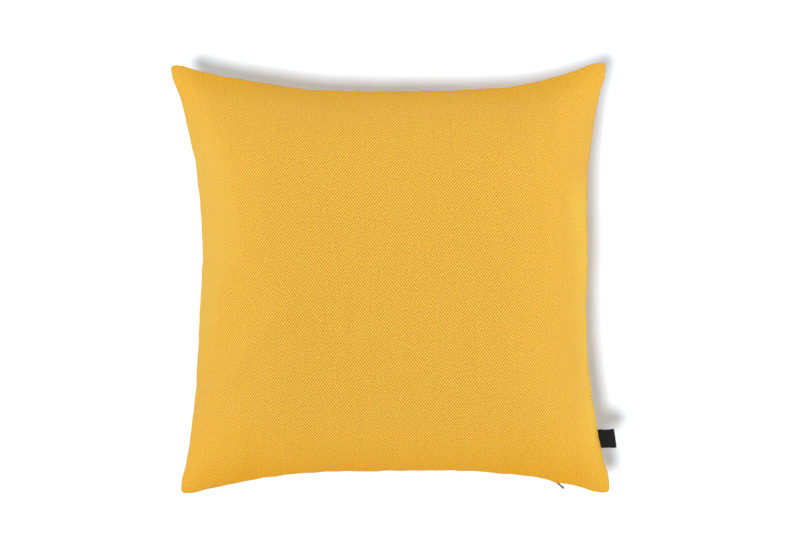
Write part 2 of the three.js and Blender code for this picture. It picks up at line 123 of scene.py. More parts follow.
# The filling holds the front's cloth out in a broad facet along the left and right seams, as far
# as a soft crease. crease is its distance from the seam at each place along the side.
# Each facet's share also places painted light on the cloth.
FACETS = {
    "left": {
        "along": [-0.102, -0.058, -0.013, 0.031, 0.065, 0.131, 0.198],
        "crease": [0.028, 0.035, 0.048, 0.066, 0.071, 0.060, 0.042],
        "rise": 0.0040,
    },
    "right": {
        "along": [-0.215, -0.180, -0.136, -0.069, -0.024, 0.087, 0.130],
        "crease": [0.017, 0.023, 0.018, 0.018, 0.023, 0.036, 0.030],
        "rise": 0.0012,
    },
}
FACET_FADE = 0.060  # length over which a facet fades out at its two ends
CREASE_HALF = 0.018  # half the width over which the facet's painted light fades at the crease
CREASE_FALL = 0.060  # how softly the cloth comes down again inside the crease
CREASE_ROUNDING = 0.02  # higher is a rounder crease

SETTLING_CELLS = 48  # along each side of a panel while the cloth settles
SETTLING_FRAMES = 20
IRONING = 6  # how often the settled moves are averaged with their neighbours
FILL_PRESSURE = 3.0
CURVE_STEPS = 60  # between two places of a seam's table
LAYING_POINTS = 161  # along each side, when the cut cloth is laid evenly over the dome
FINE_CELLS = 196  # along each side of the finished panels
FINE_GRADING = 0.90  # how much finer the cells are at the rim: 0 is even, 1 the most
MOUTH_STEP = 0.001  # between the extra lines at the zip's end and at the label
LEAST_LINE_GAP = 0.001  # from the extra lines to the next line, as a share of the side
GATHER_RISE = 0.0014  # of the small ripples that the sewing leaves in the cloth
GATHER_REACH = 0.012
GATHER_HOLD = 0.003  # the stitches hold the cloth down this close to the seam
GATHER_ENDS = (0.01, 0.05)  # how far from an ear the gathers start, and where they are whole
GATHER_LENGTHS = (0.043, 0.029, 0.021, 0.016, 0.011)
WAVE_GAIN = 1.6  # brings a sum of sines to about 1 at its highest
SEAM_WANDER = 0.0004
WANDER_REACH = 0.020
WANDER_LENGTHS = (0.076, 0.053, 0.036, 0.024)
ZIP_END_BULGE = {"along": 0.1835, "wide": 0.0045, "out": 0.0009}
SLIT_GAP = 0.00015  # half the slit between the two rolled edges
SLIT_DEEP = 0.0016
SLIT_NARROWING = 0.9  # the slit's height at its deepest, as a share of its mouth's
# The rolled edge of a panel, from the upper side round to the lower.
ROLL_ANGLES = (70, 35, 0, -35, -70)
ROLL_RADIUS = 0.0009
LEAST_ROLL_HALF = 1.1 * ROLL_RADIUS  # half the least height of a rolled edge
HEM_STEP = 0.0006  # how far the weave runs on from one row of the rim to the next


def smooth_line(points, before, after):
    """A smooth curve through points, evenly spaced by length. before and after are its neighbours."""
    line = np.array([before, *points, after], float)
    pieces = []
    for first in range(len(line) - 3):
        p0, p1, p2, p3 = line[first : first + 4]
        t0 = 0
        t1 = t0 + np.linalg.norm(p1 - p0) ** 0.5
        t2 = t1 + np.linalg.norm(p2 - p1) ** 0.5
        t3 = t2 + np.linalg.norm(p3 - p2) ** 0.5
        t = np.linspace(t1, t2, CURVE_STEPS, endpoint=False)[:, None]
        a1 = ((t1 - t) * p0 + (t - t0) * p1) / (t1 - t0)
        a2 = ((t2 - t) * p1 + (t - t1) * p2) / (t2 - t1)
        a3 = ((t3 - t) * p2 + (t - t2) * p3) / (t3 - t2)
        b1 = ((t2 - t) * a1 + (t - t0) * a2) / (t2 - t0)
        b2 = ((t3 - t) * a2 + (t - t1) * a3) / (t3 - t1)
        pieces.append(((t2 - t) * b1 + (t - t1) * b2) / (t2 - t1))
    pieces.append(line[-2][None])
    curve = np.vstack(pieces)
    run = np.concatenate([[0], np.cumsum(np.linalg.norm(np.diff(curve, axis=0), axis=1))])

    def at(share):
        place = np.asarray(share) * run[-1]
        return np.stack([np.interp(place, run, curve[:, 0]), np.interp(place, run, curve[:, 1])], -1)

    return at


def other_side(ear, side):
    """The side that meets the given one at an ear. An ear's name holds the names of both."""
    return ear.replace(side, "").strip("_")


def lay_seam():
    """The four sides of the seam. near and far run along +X, left and right along +Y."""
    rows = {}
    for side, table in SEAMS.items():
        level = side in ("near", "far")
        pair = (table["along"], table["out"]) if level else (table["out"], table["along"])
        rows[side] = np.array(pair).T
    ends = {"near_left": (0, 0), "near_right": (-1, 0), "far_right": (-1, -1), "far_left": (0, -1)}
    ears = {}
    for name, ear in EARS.items():
        across_side, up_side = name.split("_")
        corner = np.array([ear["x"], ear["y"]])
        shoulders = {}
        for side, end in zip((across_side, up_side), ends[name]):
            away = rows[side][end] - corner
            shoulders[side] = corner + away / np.linalg.norm(away) * ear["round"]
        tip = (shoulders[across_side] + shoulders[up_side] + 2 * corner) / 4
        ears[name] = {"tip": tip, **shoulders}
    sides = {}
    for side, first, last in (
        ("near", "near_left", "near_right"),
        ("far", "far_left", "far_right"),
        ("left", "near_left", "far_left"),
        ("right", "near_right", "far_right"),
    ):
        start, end = ears[first], ears[last]
        points = [start["tip"], start[side], *rows[side], end[side], end["tip"]]
        sides[side] = smooth_line(points, start[other_side(first, side)], end[other_side(last, side)])
    return sides


seam_sides = lay_seam()


def panel_plan(across, up):
    """The places in plan of a panel's points, blended between the four sides of the seam."""
    side = seam_sides
    a, b = across[..., None], up[..., None]
    near_and_far = (1 - b) * side["near"](across) + b * side["far"](across)
    left_and_right = (1 - a) * side["left"](up) + a * side["right"](up)
    near_corners = (1 - b) * ((1 - a) * side["near"](0) + a * side["near"](1))
    far_corners = b * ((1 - a) * side["far"](0) + a * side["far"](1))
    return near_and_far + left_and_right - near_corners - far_corners


def smooth_step(value, low, high):
    """0 at low, 1 at high, with a soft start and end. low may be the higher number."""
    share = np.clip((value - low) / (high - low), 0, 1)
    return share * share * (3 - 2 * share)


def zip_share(x):
    """0 off the zip's stretch of the near seam, 1 on it."""
    return smooth_step(np.minimum(x - ZIP_FROM, ZIP_TO - x), 0, ZIP_END_BLEND)


def dome(across, up):
    """The plan, the seam's height and the share of the full height at each point of a panel."""
    u, v = np.clip(abs(2 * across - 1), 0, 1), np.clip(abs(2 * up - 1), 0, 1)
    full = ((1 - u**CROWN_POWER) * (1 - v**CROWN_POWER)) ** SIDE_POWER
    return panel_plan(across, up), SEAM_HEIGHT - EAR_DROOP * (u * v) ** 3, full


def evenly_laid(across, up):
    """Where on the dome the points of the cut cloth lie, so that it is stretched evenly over it."""
    even = np.linspace(0, 1, LAYING_POINTS)
    plan, seam, full = dome(*np.meshgrid(even, even, indexing="ij"))
    surface = np.dstack([plan, seam + FRONT_RISE * full])
    shares = []
    for axis, wanted in ((0, across), (1, up)):
        steps = np.linalg.norm(np.diff(surface, axis=axis), axis=-1)
        steps = steps if axis == 0 else steps.T
        run = np.vstack([np.zeros(len(even)), np.cumsum(steps, axis=0)])
        lines = [np.interp(wanted, line / line[-1], even) for line in run.T]
        shares.append(np.array(lines))
    spread_up, spread_across = spreading(up, len(even)), spreading(across, len(even))
    return (spread_up @ shares[0]).T, spread_across @ shares[1]


def filled_shape(across, up):
    """The front panel, the back panel and the rim's outermost line, as the filling first holds them."""
    plan, seam, full = dome(*evenly_laid(across, up))
    inside = 1 - RIM_INSET / (CUT / 2)
    near_edge = smooth_step(up, 0.1, 0)[None, :]
    below = RIM_HALF + (ZIP_LIP - RIM_HALF) * zip_share(plan[:, :1, 0]) * near_edge
    front = np.dstack([plan * inside, seam + RIM_HALF + FRONT_RISE * full])
    back = np.dstack([plan * inside, seam - below - BACK_DEPTH * full])
    return front, back, np.dstack([plan, seam])


def rim_walk(count_across, count_up):
    """The lattice's edge, once round from the near left corner, anticlockwise from above."""
    last_i, last_j = count_across - 1, count_up - 1
    walk = [(i, 0) for i in range(last_i)] + [(last_i, j) for j in range(last_j)]
    walk += [(i, last_j) for i in range(last_i, 0, -1)] + [(0, j) for j in range(last_j, 0, -1)]
    return np.array(walk)


def panel_faces(count_across, count_up, first, turned):
    """The faces of one panel's lattice, of which the first vertex is given."""
    i, j = np.meshgrid(np.arange(count_across - 1), np.arange(count_up - 1), indexing="ij")
    low = first + i * count_up + j
    ring = np.stack([low, low + count_up, low + count_up + 1, low + 1], -1).reshape(-1, 4)
    return ring[:, ::-1] if turned else ring


def mesh_object(name, points, faces):
    """A new object at the origin, with the given mesh."""
    mesh = bpy.data.meshes.new(name)
    mesh.from_pydata(points.tolist(), [], faces.tolist())
    mesh.update()
    piece = bpy.data.objects.new(name, mesh)
    bpy.context.scene.collection.objects.link(piece)
    return piece


def settled_cloth(across, up):
    """How far each panel's cloth moves from its first shape once it is filled, its rim held."""
    front, back, _ = filled_shape(across, up)
    count = len(across) * len(up)
    cut_plan = np.meshgrid((across - 0.5) * CUT, (up - 0.5) * CUT, indexing="ij")
    flat = np.dstack([*cut_plan, front[..., 2]])
    walk = rim_walk(len(across), len(up))
    edge = walk[:, 0] * len(up) + walk[:, 1]
    after = np.roll(edge, -1)
    strip = np.stack([count + edge, count + after, after, edge], -1)
    front_faces = panel_faces(len(across), len(up), 0, False)
    back_faces = panel_faces(len(across), len(up), count, True)
    faces = np.vstack([front_faces, back_faces, strip])
    points = np.vstack([front.reshape(-1, 3), back.reshape(-1, 3)])
    cover = mesh_object("settling_cover", points, faces)
    cover.shape_key_add(name="Basis")
    cut_shape = cover.shape_key_add(name="cut")
    cut_shape.data.foreach_set("co", np.vstack([flat.reshape(-1, 3)] * 2).astype(np.float32).ravel())
    cut_shape.value = 0
    rim = cover.vertex_groups.new(name="rim")
    rim.add([int(v) for v in np.concatenate([edge, count + edge])], 1.0, "ADD")

    cloth = cover.modifiers.new("settle", "CLOTH")
    settings = cloth.settings
    settings.quality = 6
    settings.mass = 0.1
    settings.tension_stiffness = settings.compression_stiffness = 40
    settings.shear_stiffness = 10
    settings.bending_stiffness = 5
    settings.tension_damping = settings.compression_damping = settings.shear_damping = 10
    settings.bending_damping = 1
    settings.air_damping = 2
    settings.vertex_group_mass = "rim"
    settings.rest_shape_key = cut_shape
    settings.use_pressure = True
    settings.uniform_pressure_force = FILL_PRESSURE
    settings.effector_weights.gravity = 0
    cloth.collision_settings.use_collision = False
    cloth.point_cache.frame_start = 1
    cloth.point_cache.frame_end = SETTLING_FRAMES
    for step in range(1, SETTLING_FRAMES + 1):
        bpy.context.scene.frame_set(step)
    settled = cover.evaluated_get(bpy.context.evaluated_depsgraph_get()).data
    places = np.empty(len(settled.vertices) * 3, np.float32)
    settled.vertices.foreach_get("co", places)
    moved = (places.reshape(-1, 3) - points).reshape(2, len(across), len(up), 3)
    # The thick cloth can't hold a ripple as short as the settling cells.
    for _ in range(IRONING):
        inner = moved[:, 1:-1, 1:-1]
        around = moved[:, 2:, 1:-1] + moved[:, :-2, 1:-1] + moved[:, 1:-1, 2:] + moved[:, 1:-1, :-2]
        moved[:, 1:-1, 1:-1] = inner / 2 + around / 8
    mesh = cover.data
    bpy.data.objects.remove(cover)
    bpy.data.meshes.remove(mesh)
    bpy.context.scene.frame_set(1)
    return moved


def spreading(fine, count):
    """The weights that spread values at count even places over the fine places, smoothly."""
    place = np.clip(fine * (count - 1), 0, count - 1 - 1e-9)
    first = place.astype(int)
    t = place - first
    weights = np.zeros((len(fine), count))
    cubic = [
        (-1, -0.5 * t + t**2 - 0.5 * t**3),
        (0, 1 - 2.5 * t**2 + 1.5 * t**3),
        (1, 0.5 * t + 2 * t**2 - 1.5 * t**3),
        (2, -0.5 * t**2 + 0.5 * t**3),
    ]
    for offset, weight in cubic:
        weights[np.arange(len(fine)), np.clip(first + offset, 0, count - 1)] += weight
    return weights


def fine_lines(side, mouth):
    """Lattice lines along a side, finer at both ends and round its mouth."""
    even = np.linspace(-1, 1, FINE_CELLS + 1)
    lines = 0.5 + 0.5 * np.sin(even * pi / 2 * FINE_GRADING) / sin(pi / 2 * FINE_GRADING)
    axis = 0 if side in ("near", "far") else 1
    shares = np.linspace(0, 1, 2001)
    ends = [mouth["middle"] - mouth["fine"], mouth["middle"] + mouth["fine"]]
    low, high = np.interp(ends, seam_sides[side](shares)[:, axis], shares)
    extra = np.linspace(low, high, int(2 * mouth["fine"] / MOUTH_STEP) + 1)
    outside = lines[(lines < low - LEAST_LINE_GAP) | (lines > high + LEAST_LINE_GAP)]
    return np.sort(np.concatenate([outside, extra]))


def surface_normals(lattice):
    along_i, along_j = np.gradient(lattice, axis=0), np.gradient(lattice, axis=1)
    normal = np.cross(along_i, along_j)
    return normal / np.maximum(np.linalg.norm(normal, axis=-1, keepdims=True), 1e-12)


def pucker_lift(lattice, cloth_from_rim):
    """How far the named puckers lift the cloth. Each is highest at its reach, in from the seam."""
    x, y = lattice[..., 0], lattice[..., 1]
    from_rim = {
        "near": (x, cloth_from_rim[2]),
        "far": (x, cloth_from_rim[3]),
        "left": (y, cloth_from_rim[0]),
        "right": (y, cloth_from_rim[1]),
    }
    lift = np.zeros(x.shape)
    for pucker in PUCKERS:
        along, depth = from_rim[pucker["side"]]
        run = depth / pucker["reach"]
        off = (along - pucker["along"] - pucker["lean"] * depth) / pucker["wide"]
        lift += pucker["rise"] * run * np.exp(1 - run) * np.exp(-(off**2))
    return lift


def facet_shape(places, facet, depth):
    """How far a facet lifts the cloth, and its share at each point: 1 on the facet and 0 off it.
    The share places painted light on the cloth.
    """
    along = facet["along"]
    crease = np.interp(places, along, facet["crease"])
    between = smooth_step(np.minimum(places - along[0], along[-1] - places), 0, FACET_FADE)
    # The lift is the lower of two slopes, one up to the crease and one down inside it.
    outer = depth / crease
    inner = np.exp((crease - depth) / CREASE_FALL)
    lower = (outer + inner - np.sqrt((outer - inner) ** 2 + CREASE_ROUNDING)) / 2
    share = smooth_step(crease - depth, -CREASE_HALF, CREASE_HALF)
    return facet["rise"] * lower * between, share * between


def wave(places, lengths, seed):
    """A sum of sines of the given wavelengths over places along a seam, within about 1 of zero."""
    random = np.random.default_rng(seed)
    sines = [np.sin(2 * pi * (places / length + random.random())) for length in lengths]
    return sum(sines) / len(lengths) * WAVE_GAIN


def add_gathers(front, back, seam, across, up):
    """Ruffles the cloth beside the seam and raises each facet, whose shares of painted light it gives
    back.
    """
    left = np.repeat((across * CUT)[:, None], len(up), axis=1)
    near = np.repeat((up * CUT)[None], len(across), axis=0)
    edges = (  # distance from the edge and along it, the axis across it, and which way is out
        {"from": left, "along": near, "axis": 0, "out": -1},
        {"from": CUT - left, "along": near, "axis": 0, "out": 1},
        {"from": near, "along": left, "axis": 1, "out": -1},
        {"from": CUT - near, "along": left, "axis": 1, "out": 1},
    )
    lift = {}
    for name, lattice in (("front", front), ("back", back)):
        lift[name] = pucker_lift(lattice, [edge["from"] for edge in edges])
    for count, edge in enumerate(edges):
        ends = smooth_step(np.minimum(edge["along"], CUT - edge["along"]), *GATHER_ENDS)
        held = 1 - np.exp(-edge["from"] / GATHER_HOLD)
        beside = np.exp(-edge["from"] / GATHER_REACH) * held * ends
        for seed, name in ((3, "front"), (8, "back")):
            lift[name] += GATHER_RISE * wave(edge["along"], GATHER_LENGTHS, seed + count) * beside
        drift = SEAM_WANDER * wave(edge["along"], WANDER_LENGTHS, 20 + count) * ends
        if edge["axis"] == 1 and edge["out"] < 0:
            off = (seam[..., 0] - ZIP_END_BULGE["along"]) / ZIP_END_BULGE["wide"]
            drift += ZIP_END_BULGE["out"] * np.exp(-(off**2))
        for lattice in (front, back, seam):
            lattice[..., edge["axis"]] += edge["out"] * drift * np.exp(-edge["from"] / WANDER_REACH)
    shares = []
    for side, depth in (("left", left), ("right", CUT - left)):
        raised, share = facet_shape(front[..., 1], FACETS[side], depth)
        lift["front"] += raised
        shares.append(share)
    front += surface_normals(front) * lift["front"][..., None]
    back -= surface_normals(back) * lift["back"][..., None]
    return shares


def pressed_flat(height):
    """The height of the back once the floor has pressed its lowest part exactly flat."""
    soft = (height + FLOOR_BLEND) ** 2 / (4 * FLOOR_BLEND)
    return np.where(height <= -FLOOR_BLEND, 0, np.where(height >= FLOOR_BLEND, height, soft))


def rim_rows(outline, walk):
    """The rows of the rim between the panels' edges: the front's rolled edge, the slit, the back's."""
    tangent = np.roll(outline, -1, 0)[:, :2] - np.roll(outline, 1, 0)[:, :2]
    tangent /= np.linalg.norm(tangent, axis=1, keepdims=True)
    out = np.stack([tangent[:, 1], -tangent[:, 0]], -1)
    on_near = walk[:, 1] == 0
    on_right = (walk[:, 0] == walk[:, 0].max()) & ~on_near
    zipped = zip_share(outline[:, 0]) * on_near
    slit = -ZIP_LINE * zipped
    lower_edge = -(RIM_HALF + (ZIP_LIP - RIM_HALF) * zipped)
    gap = np.full(len(walk), SLIT_GAP)
    deep = np.full(len(walk), SLIT_DEEP)
    for mouth, axis, side in ((ZIP_MOUTH, 0, on_near), (LABEL_MOUTH, 1, on_right)):
        off = abs(outline[:, axis] - mouth["middle"])
        share = smooth_step(off, mouth["half"] + mouth["blend"], mouth["half"]) * side
        gap += mouth["gap"] * share
        deep += mouth["deep"] * share

    def row(inwards, height):
        return np.column_stack([outline[:, :2] - out * inwards[:, None], outline[:, 2] + height])

    rows = []
    for low, high in ((slit + gap, RIM_HALF), (lower_edge, slit - gap)):
        middle, half = (low + high) / 2, np.maximum((high - low) / 2, LEAST_ROLL_HALF)
        for angle in ROLL_ANGLES:
            inwards = np.full(len(walk), ROLL_RADIUS * (1 - cos(radians(angle))))
            rows.append(row(inwards, middle + half * sin(radians(angle))))
    rows.insert(len(ROLL_ANGLES), row(deep, slit + SLIT_NARROWING * gap))
    rows.insert(len(ROLL_ANGLES) + 1, row(deep, slit - SLIT_NARROWING * gap))
    return rows


def woven_places(lattice, across, up):
    """Each point's place on the weave: its distances along the cloth from the panel's middle lines."""
    lengths = []
    for axis, shares in ((0, across), (1, up)):
        steps = np.linalg.norm(np.diff(lattice, axis=axis), axis=-1)
        start = np.zeros_like(steps.take([0], axis=axis))
        run = np.concatenate([start, np.cumsum(steps, axis=axis)], axis=axis)
        lengths.append(run - run.take([abs(shares - 0.5).argmin()], axis=axis))
    return np.stack(lengths, -1).reshape(-1, 2)


def add_map(piece, name, places):
    """Adds a UV map that gives each vertex one place."""
    loops = np.empty(len(piece.data.loops), np.int32)
    piece.data.loops.foreach_get("vertex_index", loops)
    made = piece.data.uv_layers.new(name=name)
    made.data.foreach_set("uv", places[loops].astype(np.float32).ravel())


def cushion_mesh():
    """The whole cover as one closed mesh, with maps for the weave, the seams and the facet's painted
    light.
    """
    coarse = np.linspace(0, 1, SETTLING_CELLS + 1)
    moved = settled_cloth(coarse, coarse)
    across = fine_lines("near", ZIP_MOUTH)
    up = fine_lines("right", LABEL_MOUTH)
    spread_across, spread_up = spreading(across, len(coarse)), spreading(up, len(coarse))
    front, back, seam = filled_shape(across, up)
    for lattice, shift in ((front, moved[0]), (back, moved[1])):
        for axis in range(3):
            lattice[..., axis] += spread_across @ shift[..., axis] @ spread_up.T
    facet_light_shares = add_gathers(front, back, seam, across, up)
    back[..., 2] = pressed_flat(back[..., 2])

    walk = rim_walk(len(across), len(up))
    rows = rim_rows(seam[walk[:, 0], walk[:, 1]], walk)
    count = len(across) * len(up)
    edge = walk[:, 0] * len(up) + walk[:, 1]
    between = [2 * count + k * len(edge) + np.arange(len(edge)) for k in range(len(rows))]
    lines = [edge, *between, count + edge]
    faces = [
        panel_faces(len(across), len(up), 0, False),
        panel_faces(len(across), len(up), count, True),
    ]
    for upper, lower in zip(lines, lines[1:]):
        faces.append(np.stack([lower, np.roll(lower, -1), np.roll(upper, -1), upper], -1))
    points = np.vstack([front.reshape(-1, 3), back.reshape(-1, 3), *rows])
    cushion = mesh_object("cushion_cover", points, np.vstack(faces))

    # The weave runs on a little at the rim. The other maps hold the distances from the seams, and
    # the shares of painted light on the left and right facet.
    cut = np.stack(np.meshgrid(across * CUT, up * CUT, indexing="ij"), -1).reshape(-1, 2)
    outwards = np.sign(cut[edge] - CUT / 2) * (abs(cut[edge] - CUT / 2) > CUT / 2 - 1e-6)
    weave = [woven_places(lattice, across, up) for lattice in (front, back)]
    hems = []
    for k in range(len(rows)):
        upper = k < len(rows) // 2
        steps = k + 1 if upper else len(rows) - k
        hems.append(weave[0 if upper else 1][edge] + outwards * steps * HEM_STEP)
    add_map(cushion, "weave", np.vstack([*weave, *hems]))
    from_seam = np.minimum(cut, CUT - cut)
    add_map(cushion, "from_seam", np.vstack([from_seam, from_seam, *[from_seam[edge]] * len(rows)]))
    facet = np.stack(facet_light_shares, -1).reshape(-1, 2)
    add_map(cushion, "facet_light_shares", np.vstack([facet, 0 * facet, *[facet[edge]] * len(rows)]))
    cushion.data.polygons.foreach_set("use_smooth", [True] * len(cushion.data.polygons))
    return cushion


COVER_LIT_FLOATS = (0.862, 0.515, 0.084, 1)  # the raised floats of the yarn, with painted light on them
COVER_SHADED_DIPS = (0.373, 0.163, 0.0020, 1)  # the dips between them, with painted shade in them
WEAVE_ACROSS = 0.00312  # from one float to the next in the same row
WEAVE_UP = 0.00410
YARN_WANDER = 0.0011  # how far a yarn strays from its straight line
EAR_LEAN = 0.35  # how much the weave is pulled askew at an ear
FLOAT_SPREAD = 2.2  # how much single floats differ
CONTRAST = (0.27, 0.445)  # painted light and shade of floats and dips, by the side seams and inside
FACET_LIGHT_WASHOUT = 0.25  # the share of the weave's painted light and shade that the left facet loses

# What each of these multiplies the colour of the cloth by.
WARM_DYE = (1.015, 0.975, 1.08, 1)
GREEN_DYE = (0.985, 1.02, 0.88, 1)
DARK_STREAK = (0.95, 0.95, 0.95, 1)
LIGHT_STREAK = (1.05, 1.05, 1.05, 1)
# Painted shade, deeper and more orange, beside the near and far seams and along the near side.
SEAM_PAINTED_SHADE = (1.02, 0.91, 0.34, 1)
NEAR_PAINTED_SHADE = (1.035, 0.98, 0.68, 1)
# Painted light on the left facet, and a painted highlight on the right one.
LEFT_FACET_PAINTED_LIGHT = (1.0, 1.065, 1.21, 1)
RIGHT_FACET_PAINTED_HIGHLIGHT = (1.06, 1.16, 1.17, 1)


def add_node(tree, kind, inputs=None, **settings):
    """Adds a node. An input is a value, or another node's output to link."""
    made = tree.nodes.new(kind)
    for name, value in settings.items():
        setattr(made, name, value)
    for name, value in (inputs or {}).items():
        if isinstance(value, bpy.types.NodeSocket):
            tree.links.new(value, made.inputs[name])
        else:
            made.inputs[name].default_value = value
    return made


def maths(tree, operation, *values):
    """Adds a maths node, and gives its result. Each value is a number or another node's output."""
    made = tree.nodes.new("ShaderNodeMath")
    made.operation = operation
    for socket, value in zip(made.inputs, values):
        if isinstance(value, bpy.types.NodeSocket):
            tree.links.new(value, socket)
        else:
            socket.default_value = value
    return made.outputs[0]


def ranged(tree, value, start, end, low=0.0, high=1.0):
    """Goes from low to high as the value goes from start to end, which may be the lower number."""
    limits = {"From Min": start, "From Max": end, "To Min": low, "To Max": high}
    return add_node(tree, "ShaderNodeMapRange", {"Value": value, **limits}).outputs[0]


def noise_at(tree, place, scale, detail=2.0, stretch=(1, 1, 1)):
    """Noise of the given number of patches in each metre, as a share and as three shares."""
    moved = add_node(tree, "ShaderNodeVectorMath", operation="MULTIPLY")
    tree.links.new(place, moved.inputs[0])
    moved.inputs[1].default_value = stretch
    inputs = {"Vector": moved.outputs[0], "Scale": scale, "Detail": detail}
    made = add_node(tree, "ShaderNodeTexNoise", inputs)
    return made.outputs["Fac"], made.outputs["Color"]


def blended(tree, share, first, second, mode="MIX"):
    """The first colour at share 0, and at 1 the second, or with MULTIPLY the product of the two."""
    made = tree.nodes.new("ShaderNodeMix")
    made.data_type = "RGBA"
    made.blend_type = mode
    sockets = [s for s in made.inputs if s.type == "RGBA"]
    for socket, value in ((made.inputs[0], share), (sockets[0], first), (sockets[1], second)):
        if isinstance(value, bpy.types.NodeSocket):
            tree.links.new(value, socket)
        else:
            socket.default_value = value
    return next(s for s in made.outputs if s.type == "RGBA")


def basket_cloth():
    """Thick yellow cloth: staggered rows of floats, whose dots run together into short diagonals."""
    material = bpy.data.materials.new("basket_cloth")
    material.use_nodes = True
    tree = material.node_tree
    shader = tree.nodes["Principled BSDF"]
    cut_map = add_node(tree, "ShaderNodeUVMap", uv_map="weave").outputs[0]

    # Each yarn wanders a little from its straight line.
    _, wander = noise_at(tree, cut_map, scale=70)
    shift = add_node(tree, "ShaderNodeVectorMath", operation="MULTIPLY_ADD")
    tree.links.new(wander, shift.inputs[0])
    shift.inputs[1].default_value = (YARN_WANDER, YARN_WANDER, 0)
    tree.links.new(cut_map, shift.inputs[2])
    place = add_node(tree, "ShaderNodeSeparateXYZ", {"Vector": shift.outputs[0]})
    across = maths(tree, "MULTIPLY", place.outputs["X"], 2 * pi / WEAVE_ACROSS)
    up = maths(tree, "MULTIPLY", place.outputs["Y"], 2 * pi / WEAVE_UP)
    rising = maths(tree, "COSINE", maths(tree, "ADD", across, up))
    falling = maths(tree, "COSINE", maths(tree, "SUBTRACT", across, up))
    patch, _ = noise_at(tree, cut_map, scale=80, detail=1)
    lean = ranged(tree, patch, 0.35, 0.65, 0.38, 0.62)
    # Towards the ears the cloth is pulled askew, and its floats line up from the ear to the middle.
    middle = add_node(tree, "ShaderNodeSeparateXYZ", {"Vector": cut_map})
    askew = maths(tree, "MULTIPLY", middle.outputs["X"], middle.outputs["Y"])
    askew = maths(tree, "MULTIPLY", askew, maths(tree, "ABSOLUTE", askew))
    lean = maths(tree, "MULTIPLY_ADD", askew, -EAR_LEAN / (CUT / 2) ** 4, lean)
    weave = add_node(tree, "ShaderNodeMix", {"Factor": lean, "A": falling, "B": rising}).outputs[0]

    # Single floats differ, and the dye differs a little from yarn to yarn.
    uneven, _ = noise_at(tree, cut_map, scale=620, detail=1)
    height = maths(tree, "MULTIPLY_ADD", maths(tree, "SUBTRACT", uneven, 0.5), FLOAT_SPREAD, weave)
    seam_map = add_node(tree, "ShaderNodeUVMap", uv_map="from_seam").outputs[0]
    from_seam = add_node(tree, "ShaderNodeSeparateXYZ", {"Vector": seam_map})
    facet_light_map = add_node(tree, "ShaderNodeUVMap", uv_map="facet_light_shares").outputs[0]
    facet_light_shares = add_node(tree, "ShaderNodeSeparateXYZ", {"Vector": facet_light_map})
    # The painted light and shade of the floats and dips is weaker next to the left and right seams and
    # on the left facet, painting the light that washes out the weave there.
    contrast = ranged(tree, from_seam.outputs["X"], 0.0, 0.15, *CONTRAST)
    kept = maths(tree, "MULTIPLY_ADD", facet_light_shares.outputs["X"], -FACET_LIGHT_WASHOUT, 1.0)
    contrast = maths(tree, "MULTIPLY", contrast, kept)
    share = maths(tree, "MULTIPLY_ADD", height, contrast, 0.5)
    share = add_node(tree, "ShaderNodeClamp", {"Value": share}).outputs[0]
    colour = blended(tree, share, COVER_SHADED_DIPS, COVER_LIT_FLOATS)
    hue, _ = noise_at(tree, cut_map, scale=130)
    dye = blended(tree, ranged(tree, hue, 0.3, 0.7), WARM_DYE, GREEN_DYE)
    colour = blended(tree, 1.0, colour, dye, "MULTIPLY")
    streak, _ = noise_at(tree, cut_map, scale=1, stretch=(330, 9, 1))
    streaks = blended(tree, streak, DARK_STREAK, LIGHT_STREAK)
    colour = blended(tree, 1.0, colour, streaks, "MULTIPLY")

    # Painted shade: towards the near and far seams the colour is made deeper and more orange,
    # less so at the ears. Painted light: it is made paler on the left facet, and a painted
    # highlight lies on the right facet.
    off_ears = ranged(tree, from_seam.outputs["X"], 0.0, 0.08, 0.3, 1.0)
    beside = maths(tree, "MULTIPLY", ranged(tree, from_seam.outputs["Y"], 0.045, 0.0), off_ears)
    near = maths(tree, "MULTIPLY", ranged(tree, middle.outputs["Y"], -0.145, -0.195), off_ears)
    colour = blended(tree, beside, colour, SEAM_PAINTED_SHADE, "MULTIPLY")
    colour = blended(tree, near, colour, NEAR_PAINTED_SHADE, "MULTIPLY")
    colour = blended(tree, facet_light_shares.outputs["X"], colour, LEFT_FACET_PAINTED_LIGHT, "MULTIPLY")
    colour = blended(tree, facet_light_shares.outputs["Y"], colour, RIGHT_FACET_PAINTED_HIGHLIGHT, "MULTIPLY")
    tree.links.new(colour, shader.inputs["Base Color"])

    # The yarns stand proud of the dips, with fine fibres on them.
    fibre, _ = noise_at(tree, cut_map, scale=2600)
    relief = maths(tree, "MULTIPLY_ADD", fibre, 0.5, height)
    bump = add_node(tree, "ShaderNodeBump", {"Strength": 0.35, "Distance": 0.0005, "Height": relief})
    tree.links.new(bump.outputs[0], shader.inputs["Normal"])
    shader.inputs["Roughness"].default_value = 0.9
    shader.inputs["Specular IOR Level"].default_value = 0.1
    shader.inputs["Sheen Weight"].default_value = 0.09
    shader.inputs["Sheen Roughness"].default_value = 0.4
    shader.inputs["Sheen Tint"].default_value = (1.0, 0.88, 0.6, 1)
    return material


cushion = cushion_mesh()
cushion.data.materials.append(basket_cloth())
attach(cushion, "root")
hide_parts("cushion")


